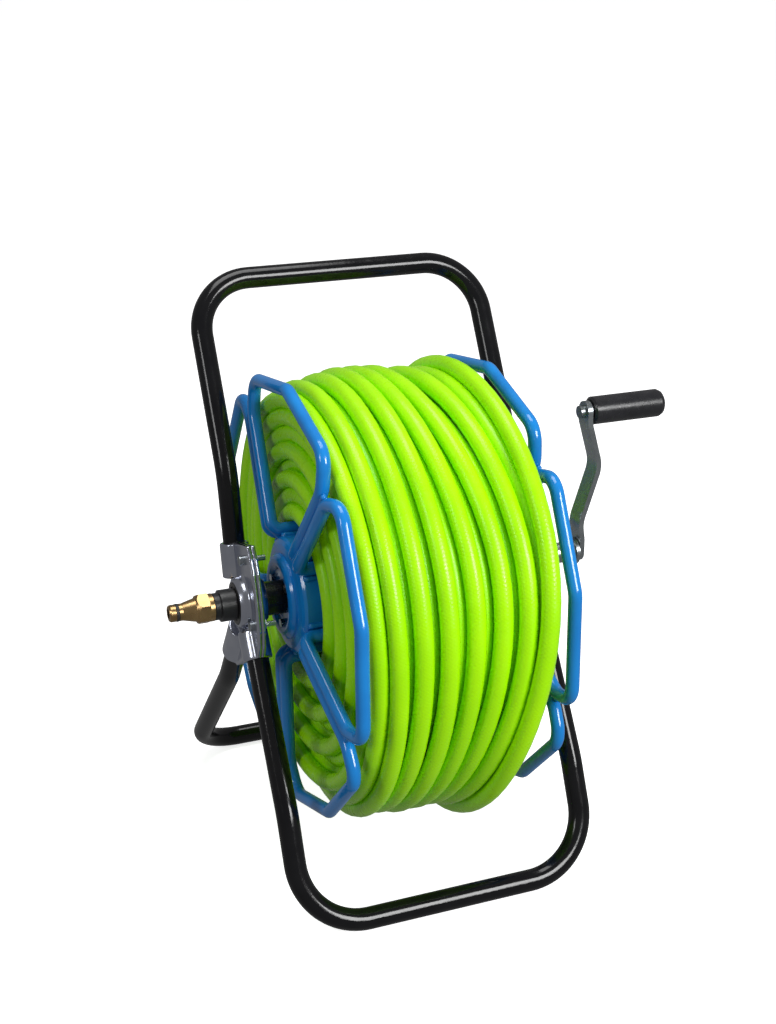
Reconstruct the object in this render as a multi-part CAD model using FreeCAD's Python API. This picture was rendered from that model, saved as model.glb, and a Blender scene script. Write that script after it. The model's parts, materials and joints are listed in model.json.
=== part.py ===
import FreeCAD, Part
import math
import os

# Hose reel on a free-standing tubular frame. Millimetres, +Z up.
# X runs along the reel's axle: the water inlet is at -X and the crank at +X.
# +Y points to the back, where the handle leans and the rear foot stands.
# All shapes are drawn with X = 0 midway between the two brackets and z = 0 on the floor.
# The export then moves them so that the origin lies under the middle of the reel.

# Frame tubes
TUBE_R = 10.0
TUBE_WALL = 1.5
HALF_WIDTH = 140.0
AXIS_Y = -5.0
AXIS_Z = 268.6

# Each U-shaped tube: (y, z) of its bends, from its end in the bracket to its cross bar
HANDLE_SIDE = [(29.0, 285.0), (50.0, 372.0), (141.5, 529.6)]
FRONT_SIDE = [(-18.0, 240.0), (-106.0, 104.0), (-149.2, 10.0)]
REAR_SIDE = [(18.0, 232.0), (70.0, 160.0), (216.0, 10.0)]
SIDE_BEND_R = 120.0
HANDLE_CORNER_R = 52.0
FRONT_CORNER_R = 60.0
REAR_CORNER_R = 46.0

# Cast brackets, each of two shells that meet on the tubes' centre plane
WEB = 4.0
RIB_R = 13.5
BOSS_R = 24.0
BOSS_FACE_R = 20.5
BOSS_DEPTH = 13.0
ARM_LENGTHS = (27.0, 22.0, 42.0)
BRACKET_OUTLINE = [
    (46, 309), (-19, 328), (-27, 318), (-33, 306), (-38, 290), (-43, 273), (-46, 256),
    (-45, 240), (-41, 229), (-19, 213), (5, 205), (30, 189), (54, 206), (40, 236), (36, 262), (40, 288),
]
BRACKET_SCREWS = [(-4.5, 309.0), (-31.0, 256.0), (27.0, 252.0)]
SCREW_R = 2.5
SCREW_HEAD_R = 4.5
SCREW_TAIL = 13.0

# Axle
AXLE_R = 15.5
AXLE_BORE_R = 12.0
BUSH_R = 19.0
RUNNING_GAP = 0.06
AXLE_END = 152.0
SHAFT_R = 10.0

# Drum: each flange is five rods bent into petals, whose ends are welded along the core
DRUM_X = -7.1
CORE_R = 54.0
CORE_WALL = 2.0
CORE_HALF = 91.0
PLATE = 8.0
PETALS = 5
PETAL_ANGLE = 3.8
ROD_R = 6.0
ROOT_R = CORE_R + ROD_R + 0.2
ROOT_REACH = 27.0
RIM_HALF = 95.0
KINK_R = 172.4
KINK_RISE = 1.7
ROOT_RISE = 5.2
PETAL_CORNER = (96.0, 175.2)
PETAL_TIP = 197.2
PETAL_BENDS = [9.0, 27.0, 18.0, 20.0, 18.0, 27.0, 9.0]
CAP_R = 39.5
CAP_HEIGHT = 6.0
CAP_SCREW_CIRCLE = 25.0
CAP_SCREW_ANGLE = 172.0

# Hose
HOSE_R = 8.25
HOSE_BORE_R = 6.0
COIL_R = 207.0
COIL_DROP = 5.0
COIL_BORE_R = CORE_R + 0.5
COIL_PROFILE = [(67.0, 73.0), (88.2, 73.0), (88.2, 194.0), (80.0, COIL_R)]
OUTLET_X = -58.0
OUTLET_ANGLE = 200.0
CONNECTOR_X = 22.0
CONNECTOR_ANGLE = 236.0
CONNECTOR_REACH = 217.0
CONNECTOR_R = 13.5
CONNECTOR_LENGTH = 46.0

# Crank, drawn pointing up
CRANK_X = 190.0
CRANK_THROW = 140.4
CRANK_WIDTH = 20.0
CRANK_THICK = 5.0
CRANK_LINE = [(0.0, -10.0), (0.0, 14.0), (-2.5, 31.0), (15.5, 87.0), (3.0, 131.0), (3.0, 150.5)]
CRANK_BENDS = [30.0, 30.0, 30.0, 25.0]
GRIP_R = 13.3
GRIP_LENGTH = 76.0
PIN_R = 4.0

# Inlet
INLET_FACE = -153.0
INLET_STEP = -168.0
INLET_NOSE = -173.5
NIPPLE_TIP = -213.5
NIPPLE_BORE_R = 4.5
GROOVE = -207.5
HEX_START = -177.5
HEX_END = -188.5

X_AXIS = FreeCAD.Vector(1, 0, 0)


def vec(x, y, z):
    return FreeCAD.Vector(x, y, z)


def on_axis(x):
    return vec(x, AXIS_Y, AXIS_Z)


def polar(x, radius, angle):
    """A point around the axle; the angle runs from straight up towards the front."""
    turn = math.radians(angle)
    return vec(x, AXIS_Y - radius * math.sin(turn), AXIS_Z + radius * math.cos(turn))


def rounded_wire(points, radii):
    """Straight runs through the points, joined by a tangent arc at each inner point."""
    edges = []
    start = points[0]
    for before, corner, after, radius in zip(points, points[1:], points[2:], radii):
        back = (before - corner).normalize()
        ahead = (after - corner).normalize()
        half = 0.5 * back.getAngle(ahead)
        reach = radius / math.tan(half)
        first = corner + back * reach
        last = corner + ahead * reach
        middle = corner + (back + ahead).normalize() * (radius / math.sin(half) - radius)
        edges.append(Part.LineSegment(start, first).toShape())
        edges.append(Part.Arc(first, middle, last).toShape())
        start = last
    edges.append(Part.LineSegment(start, points[-1]).toShape())
    return Part.Wire(edges)


def rod(path, radius):
    """A round bar along a path."""
    first = path.OrderedEdges[0]
    start = first.valueAt(first.FirstParameter)
    heading = first.tangentAt(first.FirstParameter)
    circle = Part.Wire(Part.Circle(start, heading, radius).toShape())
    return path.makePipeShell([circle], True, False)


def bar(start, end, radius):
    """A straight round bar between two points."""
    return Part.makeCylinder(radius, (end - start).Length, start, end - start)


def turned(outline):
    """A solid of revolution about the axle, from (x, radius) points."""
    points = [on_axis(x) + vec(0, 0, radius) for x, radius in outline]
    face = Part.Face(Part.makePolygon(points + points[:1]))
    return face.revolve(on_axis(0), X_AXIS, 360)


def ring(x_low, x_high, outer, inner):
    return bar(on_axis(x_low), on_axis(x_high), outer).cut(bar(on_axis(x_low), on_axis(x_high), inner))


def plate(outline, x_low, x_high):
    """A flat plate across the axle, from (y, z) points."""
    points = [vec(x_low, y, z) for y, z in outline]
    return Part.Face(Part.makePolygon(points + points[:1])).extrude(vec(x_high - x_low, 0, 0))


def hexagon(x_low, x_high, y, z, across_flats):
    corner = across_flats / math.sqrt(3)
    turns = [math.radians(60 * i) for i in range(6)]
    return plate([(y + corner * math.sin(t), z + corner * math.cos(t)) for t in turns], x_low, x_high)


def half_space(outer):
    """A block that holds everything beyond the left bracket's centre plane, or inside it."""
    size = 400.0
    low = -HALF_WIDTH - size if outer else -HALF_WIDTH
    return Part.makeBox(size, size, size, vec(low, AXIS_Y - size / 2, AXIS_Z - size / 2))


def mirrored(shape, x_plane):
    return shape.mirror(vec(x_plane, 0, 0), X_AXIS)


# ---- frame -------------------------------------------------------------------------------

def u_tube_path(side, corner_radius):
    left = [vec(-HALF_WIDTH, y, z) for y, z in side]
    right = [vec(HALF_WIDTH, y, z) for y, z in reversed(side)]
    return rounded_wire(left + right, [SIDE_BEND_R, corner_radius, corner_radius, SIDE_BEND_R])


def u_tube(side, corner_radius):
    path = u_tube_path(side, corner_radius)
    return rod(path, TUBE_R).cut(rod(path, TUBE_R - TUBE_WALL))


def arm_cylinder(side, length, radius, start_gap):
    """A cylinder over the tube's end in the left bracket."""
    end, bend = [vec(-HALF_WIDTH, y, z) for y, z in side[:2]]
    heading = (bend - end).normalize()
    return Part.makeCylinder(radius, length + start_gap, end - heading * start_gap, heading)


def boss_outline():
    step = BOSS_DEPTH / 3
    return [
        (-HALF_WIDTH - BOSS_DEPTH, 0), (-HALF_WIDTH - BOSS_DEPTH, BOSS_FACE_R),
        (-HALF_WIDTH - 2 * step, BOSS_R - 1), (-HALF_WIDTH - step, BOSS_R),
        (-HALF_WIDTH + step, BOSS_R), (-HALF_WIDTH + 2 * step, BOSS_R - 1),
        (-HALF_WIDTH + BOSS_DEPTH, BOSS_FACE_R), (-HALF_WIDTH + BOSS_DEPTH, 0),
    ]


def left_bracket():
    """Both shells of the left bracket in one piece, before they are parted."""
    body = plate(BRACKET_OUTLINE, -HALF_WIDTH - WEB, -HALF_WIDTH + WEB)
    body = body.fuse(turned(boss_outline()))
    sides = (HANDLE_SIDE, FRONT_SIDE, REAR_SIDE)
    for side, length in zip(sides, ARM_LENGTHS):
        body = body.fuse(arm_cylinder(side, length, RIB_R, 5.0))
    for side, length in zip(sides, ARM_LENGTHS):
        body = body.cut(arm_cylinder(side, length + 60.0, TUBE_R, 0.0))
    body = body.cut(bar(on_axis(-HALF_WIDTH - 30), on_axis(-HALF_WIDTH + 30), BUSH_R))
    for y, z in BRACKET_SCREWS:
        body = body.cut(bar(vec(-HALF_WIDTH - 30, y, z), vec(-HALF_WIDTH + 30, y, z), SCREW_R))
    return body


def left_bracket_shell(outer):
    return left_bracket().common(half_space(outer)).removeSplitter()


def left_bracket_screws():
    screws = []
    for y, z in BRACKET_SCREWS:
        face = vec(-HALF_WIDTH - WEB, y, z)
        shank = bar(face, vec(-HALF_WIDTH + WEB + SCREW_TAIL, y, z), SCREW_R)
        head = bar(face - X_AXIS * 3.2, face, SCREW_HEAD_R)
        slot = Part.makeBox(1.4, 1.2, 2 * SCREW_HEAD_R, face + vec(-3.2, -0.6, -SCREW_HEAD_R))
        screws.append(head.fuse(shank).cut(slot).removeSplitter())
    return Part.makeCompound(screws)


def left_bracket_nuts():
    low = -HALF_WIDTH + WEB
    nuts = []
    for y, z in BRACKET_SCREWS:
        nut = hexagon(low, low + 4.0, y, z, 8.0)
        nuts.append(nut.cut(bar(vec(low - 1, y, z), vec(low + 5, y, z), SCREW_R)))
    return Part.makeCompound(nuts)


def left_bush():
    reach = BOSS_DEPTH + 1.0
    return ring(-HALF_WIDTH - BOSS_DEPTH, -HALF_WIDTH + reach, BUSH_R, AXLE_R + RUNNING_GAP)


# ---- drum --------------------------------------------------------------------------------

def left_axle():
    return ring(-AXLE_END, DRUM_X - CORE_HALF + 12.0, AXLE_R, AXLE_BORE_R)


def right_axle():
    return ring(DRUM_X + CORE_HALF - 12.0, AXLE_END, AXLE_R, SHAFT_R)


def crank_shaft():
    shaft = bar(on_axis(HALF_WIDTH - 30), on_axis(CRANK_X), SHAFT_R)
    return shaft.cut(bar(on_axis(CRANK_X - 22), on_axis(CRANK_X), 5.0))


def drum_core():
    core = ring(DRUM_X - CORE_HALF, DRUM_X + CORE_HALF, CORE_R, CORE_R - CORE_WALL)
    outlet = bar(on_axis(OUTLET_X), polar(OUTLET_X, CORE_R + 5, OUTLET_ANGLE), 7.0)
    return core.cut(outlet)


def left_end_plate():
    """A pressed lid with a rounded edge, which closes the core's end."""
    base = DRUM_X - CORE_HALF
    return turned([
        (base, CORE_R - 2.5), (base, CORE_R), (base - 3.0, CORE_R), (base - 5.5, CORE_R - 2.0),
        (base - 7.2, CORE_R - 6.0), (base - PLATE, CORE_R - 12.0), (base - PLATE, AXLE_R),
        (base - PLATE + 3.0, AXLE_R), (base - PLATE + 3.0, CORE_R - 13.0),
        (base - PLATE + 3.7, CORE_R - 7.5), (base - 3.0, CORE_R - 4.5),
    ])


def left_hub_cap():
    """A ring-shaped swelling on the lid, dished round the axle."""
    base = DRUM_X - CORE_HALF - PLATE
    top = base - CAP_HEIGHT
    return turned([
        (base, AXLE_R), (base, CAP_R), (base - 2.0, CAP_R - 0.3), (base - 4.3, CAP_R - 2.2),
        (base - 5.6, CAP_R - 4.6), (top, CAP_R - 7.5), (base - 5.6, CAP_R - 10.4), (base - 4.0, CAP_R - 12.6),
        (base - 2.0, CAP_R - 14.5), (base - 1.5, CAP_R - 18.0), (base - 1.5, AXLE_R),
    ])


def left_hub_screws():
    base = DRUM_X - CORE_HALF - PLATE
    heads = []
    for i in range(3):
        seat = polar(base - 1.5, CAP_SCREW_CIRCLE, CAP_SCREW_ANGLE + 120 * i)
        heads.append(hexagon(seat.x - 4.0, seat.x + 1.5, seat.y, seat.z, 7.0))
    return Part.makeCompound(heads)


def petal_point(tangential, radial, depth, angle):
    """A point of a left petal; depth is how far it stands out from the rim's plane."""
    turn = math.radians(angle)
    y = AXIS_Y - radial * math.sin(turn) - tangential * math.cos(turn)
    z = AXIS_Z + radial * math.cos(turn) - tangential * math.sin(turn)
    return vec(DRUM_X - RIM_HALF - depth, y, z)


def left_petal(index):
    """A rod that leaves the core, runs out beside its neighbour, round the rim and back."""
    angle = PETAL_ANGLE + index * 360.0 / PETALS
    edge = math.radians(180.0 / PETALS)
    beside = ROD_R + 0.2
    corner_u, corner_w = PETAL_CORNER

    def spoke(radius, depth, side):
        u = radius * math.sin(edge) - beside * math.cos(edge)
        w = radius * math.cos(edge) + beside * math.sin(edge)
        return petal_point(side * u, w, depth, angle)

    def half(side):
        return [
            spoke(ROOT_R, ROOT_RISE - ROOT_REACH, side), spoke(ROOT_R, ROOT_RISE, side),
            spoke(KINK_R, KINK_RISE, side), petal_point(side * corner_u, corner_w, 0.0, angle),
        ]

    points = half(-1) + [petal_point(0.0, PETAL_TIP, 0.0, angle)] + half(1)[::-1]
    return rod(rounded_wire(points, PETAL_BENDS), ROD_R)


# ---- water path and hose -----------------------------------------------------------------

def water_elbow():
    """Joins the hollow axle to the outlet through the core's wall."""
    inner = DRUM_X - CORE_HALF + 12.0
    foot = on_axis(OUTLET_X)
    top = polar(OUTLET_X, CORE_R - CORE_WALL - 6, OUTLET_ANGLE)
    body = bar(on_axis(inner), foot, 10.0).fuse([Part.makeSphere(12.0, foot), bar(foot, top, 9.0)])
    bore = bar(on_axis(inner), foot, HOSE_BORE_R).fuse([Part.makeSphere(7.0, foot), bar(foot, top, 5.0)])
    return body.cut(bore)


def outlet_heading():
    """The way the hose leaves its barb: along the core, towards growing angles."""
    return (polar(0, 100.0, OUTLET_ANGLE + 90) - on_axis(0)).normalize()


def hose_barb():
    foot = polar(OUTLET_X, CORE_R - CORE_WALL - 6, OUTLET_ANGLE)
    elbow = polar(OUTLET_X, CORE_R + HOSE_R, OUTLET_ANGLE)
    tip = elbow + outlet_heading() * 30
    outer = bar(foot, elbow, 7.0).fuse(bar(elbow, tip, HOSE_BORE_R))
    outer = outer.fuse(Part.makeSphere(7.0, elbow))
    bore = bar(foot, elbow, 4.0).fuse(bar(elbow, tip, 4.0))
    return outer.cut(bore).removeSplitter()


def hose_clamp():
    elbow = polar(OUTLET_X, CORE_R + HOSE_R, OUTLET_ANGLE)
    low = elbow + outlet_heading() * 14
    high = elbow + outlet_heading() * 23
    return bar(low, high, HOSE_R + 1.2).cut(bar(low, high, HOSE_R))


def hose_coil():
    """The wound hose in one solid; its outside hangs a little below the axle's centre."""
    left = [(DRUM_X - x, radius) for x, radius in COIL_PROFILE]
    right = [(DRUM_X + x, radius) for x, radius in reversed(COIL_PROFILE)]
    width = COIL_PROFILE[0][0]
    outline = [(DRUM_X - width, 0.0)] + left + right + [(DRUM_X + width, 0.0)]
    solid = turned(outline).translate(vec(0, 0, -COIL_DROP))
    return solid.cut(bar(on_axis(DRUM_X - 100), on_axis(DRUM_X + 100), COIL_BORE_R))


def connector_stretch(low, high, radius):
    """A round piece on the hose's far end, between two distances along it."""
    middle = polar(CONNECTOR_X, CONNECTOR_REACH, CONNECTOR_ANGLE)
    heading = (polar(0, 100.0, CONNECTOR_ANGLE + 90) - on_axis(0)).normalize()
    return bar(middle + heading * low, middle + heading * high, radius)


def hose_connector_nut():
    return connector_stretch(-14.0, 0.0, CONNECTOR_R).cut(connector_stretch(-14.0, 0.0, HOSE_R))


def hose_connector_body():
    length = CONNECTOR_LENGTH - 14.0
    body = connector_stretch(0.0, 8.0, CONNECTOR_R - 2.5)
    body = body.fuse(connector_stretch(8.0, length, CONNECTOR_R))
    body = body.fuse(connector_stretch(-12.0, 0.0, HOSE_BORE_R))
    body = body.cut(connector_stretch(-12.0, 12.0, 4.5))
    return body.cut(connector_stretch(12.0, length, 8.2)).removeSplitter()


# ---- crank -------------------------------------------------------------------------------

def crank_point(x, height):
    return vec(CRANK_X + CRANK_THICK / 2 + x, AXIS_Y, AXIS_Z + height)


def crank_arm():
    """A flat bar, bent outwards at mid height, with round ends."""
    path = rounded_wire([crank_point(x, h) for x, h in CRANK_LINE], CRANK_BENDS)
    start = path.OrderedVertexes[0].Point
    corners = [(-1, -1), (1, -1), (1, 1), (-1, 1), (-1, -1)]
    section = [start + vec(a * CRANK_THICK / 2, b * CRANK_WIDTH / 2, 0) for a, b in corners]
    strip = path.makePipeShell([Part.makePolygon(section)], True, False)
    foot = on_axis(CRANK_X - 20)
    head = foot + vec(0, 0, CRANK_THROW)
    side = vec(0, CRANK_WIDTH / 2, 0)
    corners = [foot - side, foot + side, head + side, head - side]
    shank = Part.Face(Part.makePolygon(corners + corners[:1])).extrude(vec(60, 0, 0))
    ends = [bar(p, p + vec(60, 0, 0), CRANK_WIDTH / 2) for p in (foot, head)]
    arm = strip.common(shank.fuse(ends))
    arm = arm.cut(crank_bolt())
    return arm.cut(bar(head, head + vec(60, 0, 0), PIN_R)).removeSplitter()


def crank_washer():
    return ring(CRANK_X - 4.0, CRANK_X - 0.5, 13.0, SHAFT_R)


def crank_bolt():
    """A countersunk bolt that lies flush in the arm."""
    face = CRANK_X + CRANK_THICK + 0.8
    outline = [
        (CRANK_X - 22, 0), (CRANK_X - 22, 5), (face - 3.5, 5), (face, 8.5),
        (face, 3.4), (face - 3.0, 3.4), (face - 3.0, 0),
    ]
    return turned(outline)


def grip_line(x):
    return on_axis(x) + vec(0, 0, CRANK_THROW)


def arm_top_face():
    return CRANK_X + CRANK_LINE[-1][0] + CRANK_THICK


def grip_pin():
    face = arm_top_face() - CRANK_THICK
    end = arm_top_face() + GRIP_LENGTH - 14.0
    head = bar(grip_line(face - 5), grip_line(face), 6.0)
    collar = bar(grip_line(arm_top_face()), grip_line(arm_top_face() + 1.2), 6.0)
    tail = bar(grip_line(end), grip_line(end + 4.0), 6.5)
    return head.fuse([bar(grip_line(face), grip_line(end), PIN_R), collar, tail]).removeSplitter()


def grip():
    """The hand grip, hollowed at its end for the pin's head."""
    low = arm_top_face() + 1.5
    high = low + GRIP_LENGTH
    points = [
        (low, PIN_R + RUNNING_GAP), (low, GRIP_R - 2.0), (low + 2.0, GRIP_R),
        (high - 5.0, GRIP_R), (high - 1.5, GRIP_R - 1.8), (high, GRIP_R - 4.0), (high, 8.0),
        (high - 17.0, 8.0), (high - 17.0, PIN_R + RUNNING_GAP),
    ]
    return turned(points).translate(vec(0, 0, CRANK_THROW))


def grip_cap():
    high = arm_top_face() + 1.5 + GRIP_LENGTH
    points = [(high - 6.0, 0.0), (high - 6.0, 8.0), (high, 8.0), (high + 1.6, 5.0), (high + 2.0, 0.0)]
    return turned(points).translate(vec(0, 0, CRANK_THROW))


# ---- inlet -------------------------------------------------------------------------------

def swivel_body():
    """Plastic body whose spigot turns in the axle's bore; the nipple screws into its nose."""
    spigot = AXLE_BORE_R - RUNNING_GAP
    groove = spigot - 2.0
    outline = [
        (INLET_NOSE, 9.0), (INLET_NOSE, 11.6), (INLET_NOSE + 1.0, 12.3), (INLET_STEP, 12.3),
        (INLET_STEP + 0.8, 14.5), (INLET_FACE - 0.4, 14.5), (INLET_FACE - 0.4, spigot),
        (INLET_FACE + 12, spigot), (INLET_FACE + 12, groove), (INLET_FACE + 15, groove),
        (INLET_FACE + 15, spigot), (INLET_FACE + 20, spigot), (INLET_FACE + 20, 6.0),
        (INLET_NOSE + 10, 6.0), (INLET_NOSE + 10, 9.0),
    ]
    return turned(outline)


def swivel_seal():
    spigot = AXLE_BORE_R - RUNNING_GAP
    return ring(INLET_FACE + 12, INLET_FACE + 15, spigot + 0.03, spigot - 2.0)


def inlet_nipple():
    """Brass quick-connect nipple: a ringed nose, a cone and a hexagon."""
    outline = [
        (INLET_NOSE + 10, NIPPLE_BORE_R), (INLET_NOSE + 10, 9.0), (INLET_NOSE, 9.0),
        (INLET_NOSE, 12.6), (HEX_START, 12.6), (HEX_START - 1, 11.6), (HEX_END, 11.6),
        (HEX_END - 1, 10.8), (GROOVE + 6, 7.8), (GROOVE + 3, 7.8), (GROOVE + 3, 5.9),
        (GROOVE, 5.9), (GROOVE, 7.8), (NIPPLE_TIP + 1.5, 7.8), (NIPPLE_TIP, 6.8),
        (NIPPLE_TIP, NIPPLE_BORE_R),
    ]
    chamfers = turned([
        (HEX_END, 0), (HEX_END, 12.4), (HEX_END + 3, 14.4), (HEX_START - 1, 14.4),
        (HEX_START, 13.2), (HEX_START, 0),
    ])
    hexed = hexagon(HEX_END, HEX_START, AXIS_Y, AXIS_Z, 25.0).common(chamfers)
    hexed = hexed.cut(bar(on_axis(HEX_END), on_axis(HEX_START), 10.0))
    return turned(outline).fuse(hexed).removeSplitter()


def nipple_seal():
    low, high = GROOVE, GROOVE + 3
    return turned([
        (high, 5.9), (high, 7.6), (high - 0.6, 8.1), (low + 0.6, 8.1), (low, 7.6), (low, 5.9),
    ])


# ---- all nodes ---------------------------------------------------------------------------

def frame_nodes():
    nodes = {
        "handle_tube": u_tube(HANDLE_SIDE, HANDLE_CORNER_R),
        "front_foot_tube": u_tube(FRONT_SIDE, FRONT_CORNER_R),
        "rear_foot_tube": u_tube(REAR_SIDE, REAR_CORNER_R),
    }
    pair = {
        "bracket_outer": left_bracket_shell(True),
        "bracket_inner": left_bracket_shell(False),
        "bracket_screws": left_bracket_screws(),
        "bracket_nuts": left_bracket_nuts(),
        "bush": left_bush(),
    }
    for name, shape in pair.items():
        nodes["left_" + name] = shape
        nodes["right_" + name] = mirrored(shape, 0)
    return nodes


def drum_nodes():
    nodes = {
        "left_axle": left_axle(),
        "right_axle": right_axle(),
        "crank_shaft": crank_shaft(),
        "drum_core": drum_core(),
    }
    pair = {
        "end_plate": left_end_plate(),
        "hub_cap": left_hub_cap(),
        "hub_screws": left_hub_screws(),
    }
    for i in range(PETALS):
        pair["petal_%d" % (i + 1)] = left_petal(i)
    pair["hub_cap"] = pair["hub_cap"].cut(pair["hub_screws"])
    for name, shape in pair.items():
        nodes["left_" + name] = shape
        nodes["right_" + name] = mirrored(shape, DRUM_X)
    return nodes


def hose_nodes():
    return {
        "water_elbow": water_elbow(),
        "hose_barb": hose_barb(),
        "hose_clamp": hose_clamp(),
        "hose_coil": hose_coil(),
        "hose_connector_nut": hose_connector_nut(),
        "hose_connector_body": hose_connector_body(),
    }


def crank_nodes():
    return {
        "crank_arm": crank_arm(),
        "crank_washer": crank_washer(),
        "crank_bolt": crank_bolt(),
        "grip_pin": grip_pin(),
        "grip": grip(),
        "grip_cap": grip_cap(),
    }


def inlet_nodes():
    return {
        "swivel_body": swivel_body(),
        "swivel_seal": swivel_seal(),
        "inlet_nipple": inlet_nipple(),
        "nipple_seal": nipple_seal(),
    }


def origin(shapes):
    """The point on the floor under the middle of these shapes."""
    box = Part.makeCompound(list(shapes)).optimalBoundingBox(False)
    return vec(box.Center.x, box.Center.y, 0)


def main():
    os.makedirs("parts", exist_ok=True)
    nodes = {}
    for group in (frame_nodes(), drum_nodes(), crank_nodes(), inlet_nodes()):
        nodes.update(group)
    centre = origin(nodes.values())
    print("origin at", round(centre.x, 3), round(centre.y, 3))
    nodes.update(hose_nodes())
    for name, shape in nodes.items():
        shape.translate(centre * -1)
        shape.exportStep("parts/%s.step" % name)


main()
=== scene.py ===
import json
import math

import bmesh
import bpy
import numpy as np
from mathutils import Matrix, Vector


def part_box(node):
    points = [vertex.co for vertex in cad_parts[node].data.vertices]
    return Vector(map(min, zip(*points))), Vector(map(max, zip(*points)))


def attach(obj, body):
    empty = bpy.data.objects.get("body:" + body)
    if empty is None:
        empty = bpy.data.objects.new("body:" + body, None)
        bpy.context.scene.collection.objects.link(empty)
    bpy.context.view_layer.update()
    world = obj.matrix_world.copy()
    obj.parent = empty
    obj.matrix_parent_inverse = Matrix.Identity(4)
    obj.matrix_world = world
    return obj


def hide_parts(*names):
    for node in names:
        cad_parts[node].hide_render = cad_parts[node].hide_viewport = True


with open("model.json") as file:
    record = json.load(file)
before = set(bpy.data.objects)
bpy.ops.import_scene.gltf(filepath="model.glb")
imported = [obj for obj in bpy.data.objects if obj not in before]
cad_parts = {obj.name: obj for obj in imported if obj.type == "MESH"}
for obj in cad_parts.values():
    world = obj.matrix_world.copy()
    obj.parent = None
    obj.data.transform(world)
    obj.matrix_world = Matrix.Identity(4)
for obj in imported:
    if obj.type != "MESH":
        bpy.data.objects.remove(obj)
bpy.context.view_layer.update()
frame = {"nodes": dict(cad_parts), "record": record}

# Garden hose reel. Metres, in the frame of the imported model: +X runs along the axle towards the
# crank, +Y to the back and +Z up. Angles round the axle start straight up and grow to the front.


def middle(node):
    """The middle of a CAD node's box."""
    low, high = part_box(node)
    return (low + high) / 2


AXIS_Y = middle("left_axle").y
AXIS_Z = middle("left_axle").z
DRUM_X = middle("drum_core").x


def around(x, radius, angle):
    """A point round the axle; x is measured from the drum's middle and the angle is in degrees."""
    turn = math.radians(angle)
    return Vector((DRUM_X + x, AXIS_Y - radius * math.sin(turn), AXIS_Z + radius * math.cos(turn)))


def heading(angle):
    """The direction of growing angle at an angle round the axle."""
    return (around(0, 1.0, angle + 90) - around(0, 0.0, 0)).normalized()


# ---- camera ------------------------------------------------------------------------------

CAMERA_PLACE = (-0.5269, -1.26856, 0.8486)
CAMERA_AZIMUTH = 21.37
CAMERA_DOWN = 20.87
CAMERA_ROLL = -0.12
CAMERA_LENS = 55.36


def make_camera():
    """The camera at the photograph's viewing angle."""
    data = bpy.data.cameras.new("camera")
    data.lens = CAMERA_LENS
    data.sensor_width = 36.0
    data.clip_start = 0.05
    data.clip_end = 60.0
    camera = bpy.data.objects.new("camera", data)
    bpy.context.scene.collection.objects.link(camera)
    tilt = Matrix.Rotation(math.radians(90.0 - CAMERA_DOWN), 4, "X")
    pan = Matrix.Rotation(math.radians(-CAMERA_AZIMUTH), 4, "Z")
    roll = Matrix.Rotation(math.radians(CAMERA_ROLL), 4, "Z")
    camera.matrix_world = Matrix.Translation(CAMERA_PLACE) @ pan @ tilt @ roll
    bpy.context.scene.camera = camera


# ---- hose --------------------------------------------------------------------------------

HOSE_D = 0.0165
STATIONS = 24
SEGMENTS = 3
SIDES = 5
START_ANGLE = 232.0
OUTLET_ANGLE = 200.0
CONNECTOR_ANGLE = 236.0

# The inner layers. Places across the drum are measured from its middle, and lines, which are the
# middle of the hose, from the axle. A turn steps across in the last part of each half turn.
LAYERS = 8
LAYER_TURNS = 7
FIRST_LINE = 0.0624
LAYER_PITCH = 0.0142
CORE_SIDE = 0.058
FLANGE_SIDE = 0.0798
NEST_SIDE = 0.076
ROOT_LINE = 0.0745
ROOT_SIDE = 0.060
SAG = 0.016
SHOULDER = 0.009
STEP_SHARE = 0.3
CLIMB_TURNS = 0.35
INNER_WANDER = 0.0015
SIDE_WANDER = 0.003

# The outermost layer. Each line is a list of (place across the drum, size) points, or of
# (turn, size) points where it says so.
TOP_TURNS = 14
TOP_PLACES = ((0.5, -0.078), (1.5, -0.064), (13.5, 0.077))  # turn, place
TIGHT = ((-0.080, 0.176), (-0.040, 0.180), (-0.022, 0.188),
         (0.000, 0.188), (0.047, 0.182), (0.080, 0.182))
FULLER = ((-0.080, 0.006), (-0.040, 0.002), (0.010, 0.002), (0.050, 0.018), (0.080, 0.037))
SLACK = ((-0.080, 0.034), (-0.043, 0.026), (0.030, 0.019), (0.067, 0.012), (0.080, 0.007))
ABOVE = ((0.3, 0.0), (5.3, 0.005), (9.3, 0.028),
         (10.8, 0.026), (12.3, 0.014), (13.3, 0.011))  # turn, shift
BELOW = ((0.8, 0.0), (5.8, 0.014), (10.8, 0.040), (12.3, 0.040), (13.8, 0.041))  # turn, shift
UNDER = ((0, 0), (1, 1), (11.5, 1), (12.5, 0.4))  # turn, share
UNDER_DEPTH = 0.011
FAN_ANGLE = 70.0
FAN_POWER = 1.6
TOP_WANDER = 0.001

# The two ends of the hose, in turns and in metres along its axis at the barb and the connector.
BARB_SHIFT_TURNS = 0.6
BARB_LIFT_TURNS = 0.9
BARB_LIFT = 0.0055
BARB_POINTS = (0.004, 0.019)
END_FROM = 0.5
END_TURNS = 0.45
RISE_FROM = 0.28
RISE_TURNS = 0.26
CONNECTOR_POINTS = (-0.038, 0.002)

# How overlapping turns are pushed apart, as shares of what is left in each round.
SETTLE_ROUNDS = 250
PUSH = 0.3
PULL_BACK = 0.02
EVENING = 0.25
ROOT_BLEND = 0.006


def along(line, place):
    """Reads a line of (place, size) points."""
    places, sizes = zip(*line)
    return np.interp(place, places, sizes)


def eased(t):
    """Runs smoothly from 0 to 1 as t does."""
    t = np.clip(t, 0.0, 1.0)
    return t * t * (3 - 2 * t)


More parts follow.
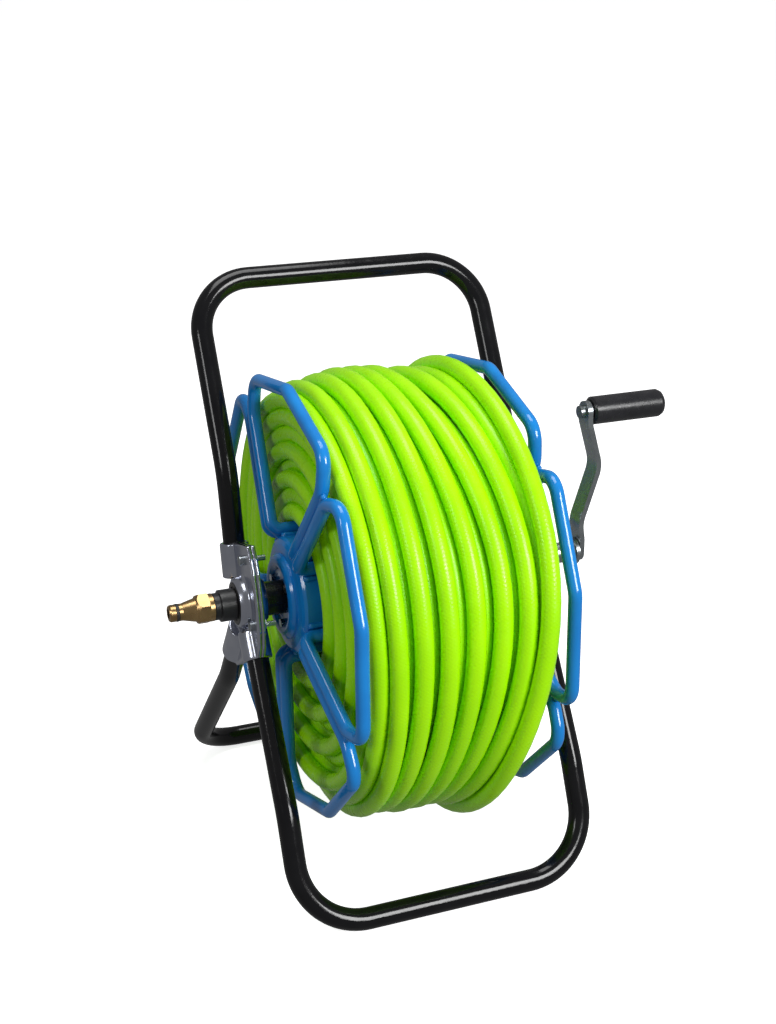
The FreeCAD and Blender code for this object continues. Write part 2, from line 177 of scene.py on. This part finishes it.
def wander(turn, size, seed):
    """A slow, smooth unevenness along the hose."""
    draw = np.random.default_rng(seed)
    waves = [np.sin(2 * math.pi * (rate * turn + draw.random())) for rate in (0.23, 0.61, 1.37)]
    return size * sum(waves) / len(waves)


def hanging(angle):
    """How far down a turn hangs: 0 on the upper half and 1 straight below the axle."""
    return np.clip(-np.cos(angle), 0, 1) ** 1.5


def top_line(x, angle):
    """How far out the outermost turns lie: tight on top, fuller in front and slack below."""
    front = np.clip(np.sin(angle), 0, 1) ** 0.4
    return along(TIGHT, x) + along(FULLER, x) * front + along(SLACK, x) * hanging(angle)


def inner_turns(turn, angle):
    """Layer upon layer, back and forth between the flanges, with a rest at each of them."""
    layer = turn // LAYER_TURNS
    within = turn - layer * LAYER_TURNS
    halves = np.floor(2 * within) + eased((2 * within % 1 - (1 - STEP_SHARE)) / STEP_SHARE)
    share = np.clip((halves - 1) / (2 * LAYER_TURNS - 3), 0, 1)
    start = np.where(layer == 0, CORE_SIDE, NEST_SIDE)
    end = np.where(layer == 0, CORE_SIDE, FLANGE_SIDE)
    way = np.where(layer % 2 == 0, 1, -1)
    x = way * (share * (start + end) - start) + wander(turn, SIDE_WANDER, 6)
    climb = eased((within - LAYER_TURNS + CLIMB_TURNS) / CLIMB_TURNS)
    radius = FIRST_LINE + LAYER_PITCH * (layer + climb)
    radius += SAG * (layer / LAYERS) ** 2 * hanging(angle) + wander(turn, INNER_WANDER, 8)
    shoulder = np.clip(-x / FLANGE_SIDE, 0, 1) ** 3 * np.clip(np.cos(angle), 0, 1)
    return x, radius - SHOULDER * (layer / LAYERS) ** 2 * shoulder


def at_the_end(within):
    """Runs from 0 to 1 over the last half turn, where the hose heads for its connector."""
    return eased((within - TOP_TURNS + END_FROM) / END_TURNS)


def outer_turns(turn, angle):
    """The outermost layer, each turn at its place in front of the axle."""
    within = turn - LAYERS * LAYER_TURNS
    x = along(TOP_PLACES, within) + wander(turn, SIDE_WANDER, 5)
    rise = eased((within - TOP_TURNS + RISE_FROM) / RISE_TURNS)
    nut = middle("hose_connector_nut")
    end_radius = math.hypot(nut.y - AXIS_Y, nut.z - AXIS_Z)
    radius = top_line(x, angle) + wander(turn, TOP_WANDER, 7)
    return x + at_the_end(within) * (nut.x - DRUM_X - x), radius + rise * (end_radius - radius)


def fan(turn, angle):
    """How far the outermost turns lie left of, and under, their places: they spread in front of
    the axle and draw together above and below it, and every other one slips under."""
    within = turn - LAYERS * LAYER_TURNS
    from_front = angle - math.radians(FAN_ANGLE)
    swing = np.sin(from_front)
    drawn = np.abs(swing) ** FAN_POWER
    shift = np.where(swing < 0, along(ABOVE, within), along(BELOW, within))
    under = eased(0.5 - np.cos(from_front / 2)) * along(UNDER, within)
    free = 1 - at_the_end(within)
    return -free * drawn * shift, -free * under * UNDER_DEPTH


def settled(x, radius, fan_x, fan_radius):
    """Pushes overlapping turns apart, inside the drum, and evens out all but the fan."""
    turns = len(x) // STATIONS
    turn = np.arange(len(x)) / STATIONS
    side = np.where(turn < LAYER_TURNS - 0.4, ROOT_SIDE, FLANGE_SIDE)
    wanted_x, wanted_radius = x, radius
    for _ in range(SETTLE_ROUNDS):
        across = (x + fan_x).reshape(turns, STATIONS)
        out = (radius + fan_radius).reshape(turns, STATIONS)
        gap_x = across[:, None] - across[None]
        gap_out = out[:, None] - out[None]
        gap = np.hypot(gap_x, gap_out)
        push = PUSH * np.clip(HOSE_D - gap, 0, None) / np.maximum(gap, 1e-9)
        x = x + (push * gap_x).sum(1).ravel()
        radius = radius + (push * gap_out).sum(1).ravel()
        x = x + PULL_BACK * (wanted_x - x)
        radius = radius + PULL_BACK * (wanted_radius - radius)
        for values in (x, radius):
            values[1:-1] += EVENING * (values[2:] + values[:-2] - 2 * values[1:-1])
        x = np.clip(x + fan_x, -side, side) - fan_x
        on_roots = eased((np.abs(x) - ROOT_SIDE) / ROOT_BLEND) * (turn > LAYER_TURNS + 0.3)
        radius = np.maximum(radius, FIRST_LINE + (ROOT_LINE - FIRST_LINE) * on_roots)
    return x + fan_x, radius + fan_radius


def hose_points():
    """The hose's control points, from its barb on the core to its connector."""
    turn = np.arange((LAYERS * LAYER_TURNS + TOP_TURNS) * STATIONS) / STATIONS
    angle = math.radians(START_ANGLE) + 2 * math.pi * turn
    inner = turn < LAYERS * LAYER_TURNS
    inner_x, inner_radius = inner_turns(turn, angle)
    outer_x, outer_radius = outer_turns(turn, angle)
    fan_x, fan_radius = fan(turn, angle)
    x = np.where(inner, inner_x, outer_x)
    radius = np.where(inner, inner_radius, outer_radius)
    x, radius = settled(x, radius, fan_x, fan_radius)
    barb_x = middle("hose_barb").x - DRUM_X
    x = x + (barb_x - x) * (1 - eased(turn / BARB_SHIFT_TURNS))
    radius = radius + BARB_LIFT * (1 - eased(turn / BARB_LIFT_TURNS))
    radius = radius / math.cos(math.pi / STATIONS)
    coil = [around(a, b, math.degrees(c)) for a, b, c in zip(x, radius, angle)][:-1]
    barb = around(barb_x, FIRST_LINE, OUTLET_ANGLE)
    first = [barb + heading(OUTLET_ANGLE) * s for s in BARB_POINTS]
    nut = middle("hose_connector_nut")
    last = [nut + heading(CONNECTOR_ANGLE) * s for s in CONNECTOR_POINTS]
    return first + coil + last


def make_curve(name, points, radius, segments, sides):
    """A round tube along a smooth NURBS line."""
    data = bpy.data.curves.new(name, "CURVE")
    data.dimensions = "3D"
    spline = data.splines.new("NURBS")
    spline.points.add(len(points) - 1)
    for place, point in zip(spline.points, points):
        place.co = (*point, 1.0)
    spline.order_u = 3
    spline.use_endpoint_u = True
    spline.resolution_u = segments
    data.bevel_depth = radius
    data.bevel_resolution = sides
    data.use_fill_caps = True
    piece = bpy.data.objects.new(name, data)
    bpy.context.scene.collection.objects.link(piece)
    return piece


def make_hose():
    """The hose, as one piece on the drum, in place of the coil's solid."""
    hose = make_curve("hose", hose_points(), HOSE_D / 2, SEGMENTS, SIDES)
    hose.data.materials.append(hose_green())
    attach(hose, "drum")
    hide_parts("hose_coil")


# ---- castings and welds ------------------------------------------------------------------

# Skins over rough meshes: voxels in metres and rounds of smoothing.
CASTING_VOXEL = 0.0008
CASTING_ROUNDS = 12
WELD_VOXEL = 0.0009
WELD_ROUNDS = 3

# The flanges as the CAD has them: petals of bent rod on the core, whose neighbours touch at a kink.
PETALS = 5
PETAL_ANGLE = 3.8
RIM_X = 0.095
GROOVE_RISE = 0.0062
KINK_RISE = 0.0027
CORE_R = 0.054
KINK_R = 0.1724
ROD_R = 0.006

# Weld metal: the radii of each bead at its two ends.
ROOT_BEAD = (0.0050, 0.0046)
GROOVE_BEAD = (0.0046, 0.0020)
KINK_BEAD = (0.0022, 0.0030)
SIDE_BEAD = (0.0030, 0.0020)
BEAD_STEP = 0.0012
RIPPLE = 0.0002
SIDE_RIPPLE = 0.0003
RIPPLE_RATE = 2.1


def smoothed(name, mesh, voxel, rounds):
    """Merges a mesh's parts into one skin and rounds its edges."""
    rough = bpy.data.objects.new(name + "_rough", mesh)
    bpy.context.scene.collection.objects.link(rough)
    skin = rough.modifiers.new("skin", "REMESH")
    skin.mode = "VOXEL"
    skin.voxel_size = voxel
    skin.use_smooth_shade = True
    soften = rough.modifiers.new("soften", "SMOOTH")
    soften.factor = 0.5
    soften.iterations = rounds
    shaped = rough.evaluated_get(bpy.context.evaluated_depsgraph_get())
    made = bpy.data.meshes.new_from_object(shaped)
    bpy.data.objects.remove(rough)
    made.materials.clear()
    piece = bpy.data.objects.new(name, made)
    bpy.context.scene.collection.objects.link(piece)
    return piece


def make_casting(node, finish):
    """A bracket shell with the rounded edges and fillets of a polished casting."""
    mesh = frame["nodes"][node].data.copy()
    piece = smoothed(node + "_casting", mesh, CASTING_VOXEL, CASTING_ROUNDS)
    piece.data.materials.append(finish)
    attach(piece, "frame")
    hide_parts(node)


def bead(balls, start, end, radii, ripple=RIPPLE):
    """Adds a run of weld metal between two points, with the ripples of its passes."""
    count = max(4, round((end - start).length / BEAD_STEP))
    for step in range(count + 1):
        share = step / count
        size = radii[0] + (radii[1] - radii[0]) * share + ripple * math.sin(RIPPLE_RATE * step)
        spot = Matrix.Translation(start.lerp(end, share))
        bmesh.ops.create_icosphere(balls, subdivisions=2, radius=size, matrix=spot)


def petal_welds(balls, out, angle):
    """The weld metal between two neighbouring petals: up from the core into the groove between
    their rods, at their kinks, and along the core on both sides."""
    foot = around(out * (RIM_X - 0.004), CORE_R + 0.002, angle)
    near = around(out * (RIM_X + GROOVE_RISE - 0.001), CORE_R + 0.013, angle)
    far = around(out * (RIM_X + GROOVE_RISE), CORE_R + 0.030, angle)
    bead(balls, foot, near, ROOT_BEAD)
    bead(balls, near, far, GROOVE_BEAD)
    low = around(out * (RIM_X + KINK_RISE), KINK_R - 0.022, angle)
    high = around(out * (RIM_X + KINK_RISE), KINK_R + 0.001, angle)
    bead(balls, low, high, KINK_BEAD)
    for turn in (-1, 1):
        beside = angle + turn * math.degrees(2.05 * ROD_R / CORE_R)
        heel = around(out * (RIM_X - 0.003), CORE_R + 0.0005, beside)
        toe = around(out * (RIM_X - 0.020), CORE_R + 0.0005, beside)
        bead(balls, heel, toe, SIDE_BEAD, SIDE_RIPPLE)


def make_welds(side, finish):
    """All the welds of one flange, as one skin."""
    out = -1 if side == "left" else 1
    balls = bmesh.new()
    for index in range(PETALS):
        petal_welds(balls, out, PETAL_ANGLE + (index + 0.5) * 360.0 / PETALS)
    mesh = bpy.data.meshes.new(side + "_welds")
    balls.to_mesh(mesh)
    balls.free()
    piece = smoothed(side + "_flange_welds", mesh, WELD_VOXEL, WELD_ROUNDS)
    piece.data.materials.append(finish)
    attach(piece, "drum")


def make_metalwork(materials):
    """The rounded castings and the flange welds."""
    for side in ("left", "right"):
        for shell in ("outer", "inner"):
            make_casting(f"{side}_bracket_{shell}", materials["cast_aluminium"])
    for side in ("left", "right"):
        make_welds(side, materials["drum_blue"])


# ---- materials ---------------------------------------------------------------------------

BRAID_ALONG = 16500.0
BRAID_AROUND = 6.3
BRAID_STRENGTH = 0.30
BRAID_DEPTH = 0.0003


def material(name):
    """A new material and its shader."""
    made = bpy.data.materials.new(name)
    made.use_nodes = True
    return made, made.node_tree.nodes["Principled BSDF"]


def add(made, kind, **values):
    """Adds a node; each value goes to the socket, or else the setting, of that name."""
    node = made.node_tree.nodes.new(kind)
    for key, value in values.items():
        if key in node.inputs:
            node.inputs[key].default_value = value
        else:
            setattr(node, key, value)
    return node


def link(made, output, socket):
    """Joins two sockets."""
    made.node_tree.links.new(output, socket)


def noise(made, scale, detail=3.0, roughness=0.5, stretch=None):
    """Noise in the object's own space, in features per metre."""
    place = add(made, "ShaderNodeTexCoord").outputs["Object"]
    if stretch:
        mapping = add(made, "ShaderNodeMapping")
        mapping.inputs["Scale"].default_value = stretch
        link(made, place, mapping.inputs["Vector"])
        place = mapping.outputs["Vector"]
    node = add(made, "ShaderNodeTexNoise", Scale=scale, Detail=detail, Roughness=roughness)
    link(made, place, node.inputs["Vector"])
    return node.outputs["Fac"]


def ramp(made, value, stops, socket):
    """Colours a value by (position, colour) stops."""
    node = add(made, "ShaderNodeValToRGB")
    elements = node.color_ramp.elements
    while len(elements) < len(stops):
        elements.new(0.5)
    for element, (position, colour) in zip(elements, stops):
        element.position = position
        element.color = (*colour, 1.0)
    link(made, value, node.inputs["Fac"])
    link(made, node.outputs["Color"], socket)


def spread(made, value, low, high, socket):
    """Sends a 0.3 to 0.7 value to a socket, stretched between two limits."""
    node = add(made, "ShaderNodeMapRange")
    for key, number in zip(("From Min", "From Max", "To Min", "To Max"), (0.3, 0.7, low, high)):
        node.inputs[key].default_value = number
    link(made, value, node.inputs["Value"])
    link(made, node.outputs["Result"], socket)


def bump(made, shader, value, strength, depth):
    """Raises the surface by a value, without moving it."""
    node = add(made, "ShaderNodeBump", Strength=strength, Distance=depth)
    link(made, value, node.inputs["Height"])
    link(made, node.outputs["Normal"], shader.inputs["Normal"])


def braid(made):
    """The diamonds of the braid under the hose's skin: two sets of slanting bands."""
    both = add(made, "ShaderNodeMath", operation="MULTIPLY")
    place = add(made, "ShaderNodeTexCoord").outputs["UV"]
    for lean, socket in zip((1, -1), both.inputs):
        mapping = add(made, "ShaderNodeMapping")
        mapping.inputs["Scale"].default_value = (BRAID_ALONG, lean * BRAID_AROUND, 1.0)
        wave = add(made, "ShaderNodeTexWave", bands_direction="DIAGONAL", Scale=1.0)
        link(made, place, mapping.inputs["Vector"])
        link(made, mapping.outputs["Vector"], wave.inputs["Vector"])
        link(made, wave.outputs["Fac"], socket)
    return both.outputs["Value"]


def hose_green():
    """Yellow-green PVC, a little cloudy, over its braid."""
    made, shader = material("hose_green")
    ramp(made, noise(made, 14.0), [(0.3, (0.36, 0.85, 0.0)), (0.7, (0.44, 0.95, 0.0))],
         shader.inputs["Base Color"])
    spread(made, noise(made, 120.0), 0.22, 0.36, shader.inputs["Roughness"])
    shader.inputs["Specular IOR Level"].default_value = 0.35
    bump(made, shader, braid(made), BRAID_STRENGTH, BRAID_DEPTH)
    return made


def paint(name, low, high, roughness, shine):
    """Glossy powder coat with a faint orange peel."""
    made, shader = material(name)
    ramp(made, noise(made, 30.0), [(0.3, low), (0.7, high)], shader.inputs["Base Color"])
    spread(made, noise(made, 90.0), roughness, roughness + 0.08, shader.inputs["Roughness"])
    shader.inputs["Specular IOR Level"].default_value = shine
    bump(made, shader, noise(made, 350.0, 2.0), 0.10, 0.0005)
    return made


def metal(name, low, high, roughness, grain, depth):
    """Bare metal with fine grain and cloudy tarnish."""
    made, shader = material(name)
    shader.inputs["Metallic"].default_value = 1.0
    ramp(made, noise(made, 60.0, 5.0), [(0.3, low), (0.7, high)], shader.inputs["Base Color"])
    spread(made, noise(made, 140.0), roughness, roughness + 0.08, shader.inputs["Roughness"])
    bump(made, shader, noise(made, grain, 2.0), 0.03, depth)
    return made


def moulded(name, colour, roughness):
    """Moulded plastic or rubber with a fine texture."""
    made, shader = material(name)
    lighter = tuple(c * 1.5 + 0.004 for c in colour)
    ramp(made, noise(made, 80.0), [(0.3, colour), (0.7, lighter)], shader.inputs["Base Color"])
    spread(made, noise(made, 200.0), roughness, roughness + 0.1, shader.inputs["Roughness"])
    bump(made, shader, noise(made, 1500.0, 2.0), 0.2, 0.0003)
    return made


def make_materials():
    """One material for each slot of the CAD record, apart from the hose's."""
    return {
        "frame_black": paint("frame_black", (0.003, 0.003, 0.004), (0.006, 0.006, 0.007), 0.10, 0.35),
        "axle_black": paint("axle_black", (0.004, 0.004, 0.005), (0.009, 0.009, 0.010), 0.25, 0.35),
        "drum_blue": paint("drum_blue", (0.007, 0.20, 0.60), (0.010, 0.25, 0.70), 0.10, 0.60),
        "cast_aluminium": metal(
            "cast_aluminium", (0.43, 0.45, 0.53), (0.51, 0.53, 0.60), 0.15, 250.0, 0.0001),
        "zinc_steel": metal("zinc_steel", (0.34, 0.37, 0.39), (0.46, 0.50, 0.51), 0.22, 300.0, 0.0002),
        "brass": metal("brass", (0.33, 0.21, 0.09), (0.52, 0.35, 0.16), 0.24, 300.0, 0.0002),
        "black_plastic": moulded("black_plastic", (0.012, 0.012, 0.013), 0.32),
        "connector_grey": moulded("connector_grey", (0.10, 0.10, 0.11), 0.40),
        "connector_black": moulded("connector_black", (0.014, 0.014, 0.015), 0.40),
        "grip_black": moulded("grip_black", (0.010, 0.010, 0.012), 0.20),
        "seal_rubber": moulded("seal_rubber", (0.015, 0.015, 0.016), 0.50),
    }


def dress_nodes(materials):
    """Gives every CAD node its slot's material."""
    for part in frame["record"]["subparts"]:
        node = frame["nodes"][part["node"]]
        node.data.materials.clear()
        if part["material_slot"] in materials:
            node.data.materials.append(materials[part["material_slot"]])


# ---- studio ------------------------------------------------------------------------------

FLOOR_SIDE = 20.0
FLOOR_COLOUR = 0.92
FLOOR_GLOW = 0.80
SURROUNDINGS = 0.22
AIM = (0.0, 0.0, 0.27)


def make_floor():
    """A pale floor that neither shows in the part's reflections nor lights it."""
    data = bpy.data.meshes.new("floor")
    corners = [(x * FLOOR_SIDE, y * FLOOR_SIDE, 0) for x, y in ((-1, -1), (1, -1), (1, 1), (-1, 1))]
    data.from_pydata(corners, [], [(0, 1, 2, 3)])
    floor = bpy.data.objects.new("floor", data)
    bpy.context.scene.collection.objects.link(floor)
    floor.visible_diffuse = False
    floor.visible_glossy = False
    made, shader = material("floor")
    shader.inputs["Base Color"].default_value = (FLOOR_COLOUR,) * 3 + (1.0,)
    shader.inputs["Roughness"].default_value = 0.9
    shader.inputs["Emission Color"].default_value = (1.0, 1.0, 1.0, 1.0)
    shader.inputs["Emission Strength"].default_value = FLOOR_GLOW
    floor.data.materials.append(made)


def make_light(name, place, width, height, power):
    """A soft rectangular light, turned to the reel."""
    data = bpy.data.lights.new(name, "AREA")
    data.shape = "RECTANGLE"
    data.size = width
    data.size_y = height
    data.energy = power
    lamp = bpy.data.objects.new(name, data)
    bpy.context.scene.collection.objects.link(lamp)
    lamp.location = place
    lamp.rotation_euler = (Vector(AIM) - Vector(place)).to_track_quat("-Z", "Y").to_euler()


def make_world():
    """A white background, with dimmer surroundings for the light and the reflections."""
    world = bpy.data.worlds.new("world")
    world.use_nodes = True
    nodes = world.node_tree.nodes
    links = world.node_tree.links
    path = nodes.new("ShaderNodeLightPath")
    strength = nodes.new("ShaderNodeMapRange")
    strength.inputs["To Min"].default_value = SURROUNDINGS
    strength.inputs["To Max"].default_value = 1.0
    links.new(path.outputs["Is Camera Ray"], strength.inputs["Value"])
    links.new(strength.outputs["Result"], nodes["Background"].inputs["Strength"])
    nodes["Background"].inputs["Color"].default_value = (1.0, 1.0, 1.0, 1.0)
    bpy.context.scene.world = world


def make_studio():
    """The background, the floor and the three lights."""
    make_world()
    make_floor()
    bpy.context.scene.view_settings.view_transform = "Standard"
    make_light("key", (0.88, -2.16, 1.41), 1.0, 1.0, 55.0)
    make_light("left", (-2.4, -0.9, 1.5), 0.5, 0.9, 12.0)
    make_light("top", (0.0, 0.2, 3.0), 1.6, 1.6, 40.0)


# ---- everything --------------------------------------------------------------------------

make_camera()
make_hose()
finishes = make_materials()
dress_nodes(finishes)
make_metalwork(finishes)
make_studio()
